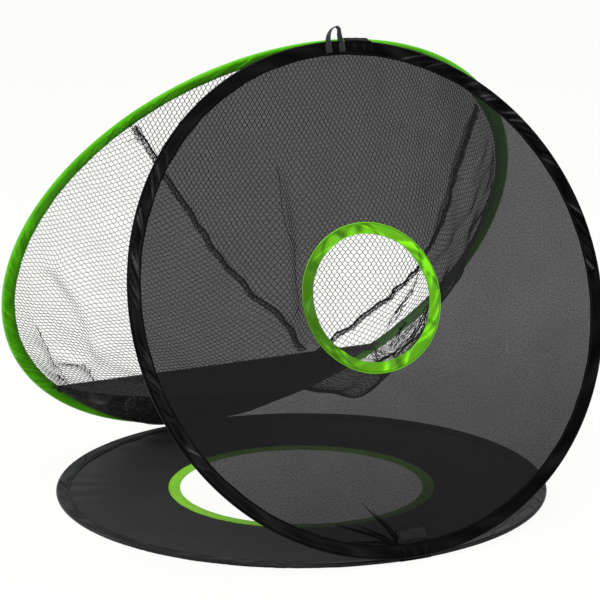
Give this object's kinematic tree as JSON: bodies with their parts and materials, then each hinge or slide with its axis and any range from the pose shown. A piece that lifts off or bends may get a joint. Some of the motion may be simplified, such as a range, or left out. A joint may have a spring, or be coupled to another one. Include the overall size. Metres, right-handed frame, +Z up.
{
  "type": "golf chipping net",
  "caption": "Folding golf chipping net: cloth-covered spring hoops tied into a tent, with green-bound target holes and a hanging net bag.",
  "frame": {"origin": "on the floor under the middle of the base hoop", "axes": "+Z up, +Y from the front panel towards the rear hoop, +X to the right seen from the front"},
  "size_m": [0.708, 0.6435, 0.6194],
  "materials": {
    "spring_steel": "round spring wire",
    "black_satin": "black polyester satin sleeve",
    "green_satin": "bright green polyester satin sleeve",
    "black_cloth": "opaque black taffeta",
    "flap_cloth": "dense black woven mesh",
    "sheer_mesh": "sheer fine black mesh",
    "lime_binding": "lime green satin tape",
    "black_webbing": "black woven tape",
    "netting": "black diamond netting",
    "seam_tape": "narrow black seam tape"
  },
  "bodies": {
    "base": {"base_hoop_wire": "spring_steel", "base_hoop_ferrule": "spring_steel", "base_sleeve": "black_satin", "base_panel": "black_cloth", "base_hole_binding": "lime_binding", "front_hinge_tape_base": "black_webbing", "rear_hook_patch": "black_webbing"},
    "front": {"front_hoop_wire": "spring_steel", "front_hoop_ferrule": "spring_steel", "front_sleeve": "black_satin", "front_panel": "sheer_mesh", "front_hole_binding": "lime_binding", "front_patch": "black_cloth", "front_hinge_tape_front": "black_webbing", "top_hinge_tape_front": "black_webbing", "carry_loop": "black_webbing"},
    "rear": {"rear_hoop_wire": "spring_steel", "rear_hoop_ferrule": "spring_steel", "rear_sleeve": "green_satin", "rear_flap": "flap_cloth", "rear_flap_hem": "flap_cloth", "net_upper_panel": "netting", "net_lower_panel": "netting", "net_seam_left": "seam_tape", "net_seam_right": "seam_tape", "top_hinge_tape_rear": "black_webbing", "rear_closure_anchor": "black_webbing"},
    "closure": {"rear_closure_tab": "black_webbing"}
  },
  "joints": [
    {"name": "front_fold", "type": "hinge", "parent": "base", "child": "front", "pos_m": [0, -0.31648, 0.00634], "axis": [-1, 0, 0], "range_deg": [0, 67.47]},
    {"name": "top_fold", "type": "hinge", "parent": "front", "child": "rear", "pos_m": [0, -0.07264, 0.61171], "axis": [1, 0, 0], "range_deg": [0, 304.44]},
    {"name": "closure_peel", "type": "hinge", "parent": "rear", "child": "closure", "pos_m": [0, 0.31937, 0.00985], "axis": [1, 0, 0], "range_deg": [0, 110]}
  ],
  "couplings": [
    {"joint": "top_fold", "follows": "front_fold", "ratio": 4.512}
  ]
}
